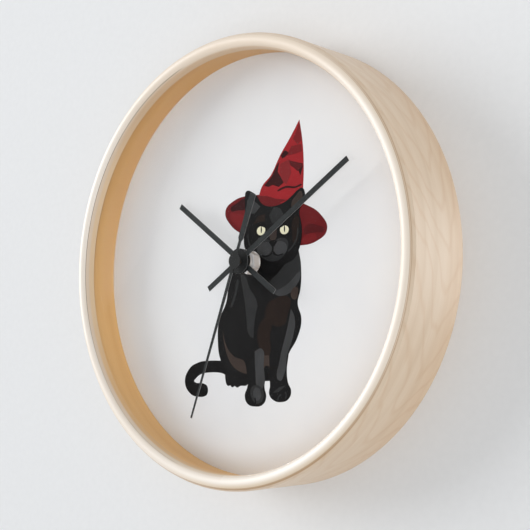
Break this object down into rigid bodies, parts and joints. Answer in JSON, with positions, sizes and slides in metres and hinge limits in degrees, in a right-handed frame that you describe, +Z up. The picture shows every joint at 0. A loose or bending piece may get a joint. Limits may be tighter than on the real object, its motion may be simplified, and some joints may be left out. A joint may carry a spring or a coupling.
{
  "type": "wall clock",
  "caption": "Round wall clock with a deep bent-wood hoop case, clear lens, white dial with a printed cat, black baton hands and a quartz movement behind.",
  "frame": {"origin": "centre of the clock: on the axis of the hands, halfway through the depth of the case, 22.5 mm in front of the wall", "axes": "+Z up, towards 12 o'clock; -Y out of the dial towards the viewer; +Y into the wall; +X towards 3 o'clock"},
  "size_m": [0.25, 0.045, 0.25],
  "materials": {
    "maple_core": "clear satin lacquer over bent laminated plies",
    "maple_veneer": "clear satin lacquer, long grain round the side",
    "maple_lip": "clear satin lacquer",
    "spacer_wood": "lacquered, orange tan",
    "lens_clear": "clear acrylic sheet",
    "dial_print": "matt white card with a printed picture",
    "fibreboard": "raw brown fibreboard",
    "hanger_wood": "sawn pine",
    "zinc_steel": "zinc plated",
    "nickel": "nickel plated, slightly dull",
    "brass": "turned",
    "black_rubber": "matt",
    "black_plastic": "fine moulded texture",
    "white_plastic": "moulded acetal",
    "hand_black": "stamped and painted satin black",
    "soft_iron": "blanked sheet",
    "magnet": "sintered ferrite",
    "copper_wire": "enamelled copper winding",
    "bobbin_plastic": "moulded nylon",
    "board_green": "solder-masked circuit board",
    "resin_black": "potting resin",
    "contact_steel": "nickel-plated spring strip",
    "knob_plastic": "moulded",
    "cell_steel": "plated can",
    "cell_sleeve": "shrink sleeve"
  },
  "bodies": {
    "case": {"hoop": "maple_core", "outer_ply": "maple_veneer", "lip_strip": "maple_lip", "lens": "lens_clear", "spacer_ring": "spacer_wood", "dial_sheet": "dial_print", "backboard": "fibreboard", "retaining_points": "zinc_steel", "hanger_block": "hanger_wood", "hanger_plate": "zinc_steel", "hanger_screws": "zinc_steel", "rubber_gasket": "black_rubber", "metal_washer": "nickel", "hex_nut": "nickel", "centre_bush": "nickel", "movement_case": "black_plastic", "movement_back_cover": "black_plastic", "middle_plate": "white_plastic", "gear_bridge": "white_plastic", "stator": "soft_iron", "coil_core": "soft_iron", "coil_bobbin": "bobbin_plastic", "coil_winding": "copper_wire", "stator_screws": "zinc_steel", "circuit_board": "board_green", "quartz_crystal": "nickel", "ic_blob": "resin_black", "positive_contact": "contact_steel", "negative_contact": "contact_steel"},
    "second_group": {"second_hand": "hand_black", "second_collet": "brass", "second_arbor": "zinc_steel", "second_wheel": "white_plastic"},
    "minute_group": {"minute_hand": "hand_black", "minute_tube": "white_plastic", "centre_wheel": "white_plastic"},
    "hour_group": {"hour_hand": "hand_black", "hour_wheel": "white_plastic"},
    "motion_gear": {"motion_wheel": "white_plastic"},
    "third_gear": {"third_arbor": "white_plastic", "third_wheel": "white_plastic"},
    "intermediate_gear": {"intermediate_wheel": "white_plastic"},
    "rotor_group": {"rotor_pinion": "white_plastic", "rotor_magnet": "magnet"},
    "setting_group": {"set_knob": "knob_plastic", "set_pinion": "knob_plastic"},
    "battery": {"battery_can": "cell_steel", "battery_sleeve": "cell_sleeve", "battery_button": "cell_steel"}
  },
  "joints": [
    {"name": "second_hand_turn", "type": "hinge", "parent": "case", "child": "second_group", "pos_m": [0, 0, 0], "axis": [0, 1, 0], "continuous": true},
    {"name": "minute_hand_turn", "type": "hinge", "parent": "case", "child": "minute_group", "pos_m": [0, 0, 0], "axis": [0, 1, 0], "continuous": true},
    {"name": "hour_hand_turn", "type": "hinge", "parent": "case", "child": "hour_group", "pos_m": [0, 0, 0], "axis": [0, 1, 0], "continuous": true},
    {"name": "motion_wheel_turn", "type": "hinge", "parent": "case", "child": "motion_gear", "pos_m": [0, 0, 0.0075], "axis": [0, 1, 0], "continuous": true},
    {"name": "third_wheel_turn", "type": "hinge", "parent": "case", "child": "third_gear", "pos_m": [0.00846, 0, 0.00308], "axis": [0, 1, 0], "continuous": true},
    {"name": "intermediate_wheel_turn", "type": "hinge", "parent": "case", "child": "intermediate_gear", "pos_m": [-0.006, 0, 0], "axis": [0, 1, 0], "continuous": true},
    {"name": "rotor_turn", "type": "hinge", "parent": "case", "child": "rotor_group", "pos_m": [-0.0116, 0, 0], "axis": [0, 1, 0], "continuous": true},
    {"name": "setting_knob_turn", "type": "hinge", "parent": "case", "child": "setting_group", "pos_m": [0.00375, 0, 0.014], "axis": [0, 1, 0], "continuous": true},
    {"name": "battery_slide", "type": "slide", "parent": "case", "child": "battery", "axis": [0, 1, 0], "range_m": [0, 0.03]}
  ],
  "couplings": [
    {"joint": "minute_hand_turn", "follows": "second_hand_turn", "ratio": 0.016667},
    {"joint": "hour_hand_turn", "follows": "second_hand_turn", "ratio": 0.0013889},
    {"joint": "motion_wheel_turn", "follows": "second_hand_turn", "ratio": -0.0055556},
    {"joint": "third_wheel_turn", "follows": "second_hand_turn", "ratio": -0.13333},
    {"joint": "intermediate_wheel_turn", "follows": "second_hand_turn", "ratio": -5},
    {"joint": "rotor_turn", "follows": "second_hand_turn", "ratio": 30},
    {"joint": "setting_knob_turn", "follows": "second_hand_turn", "ratio": 0.016667}
  ]
}
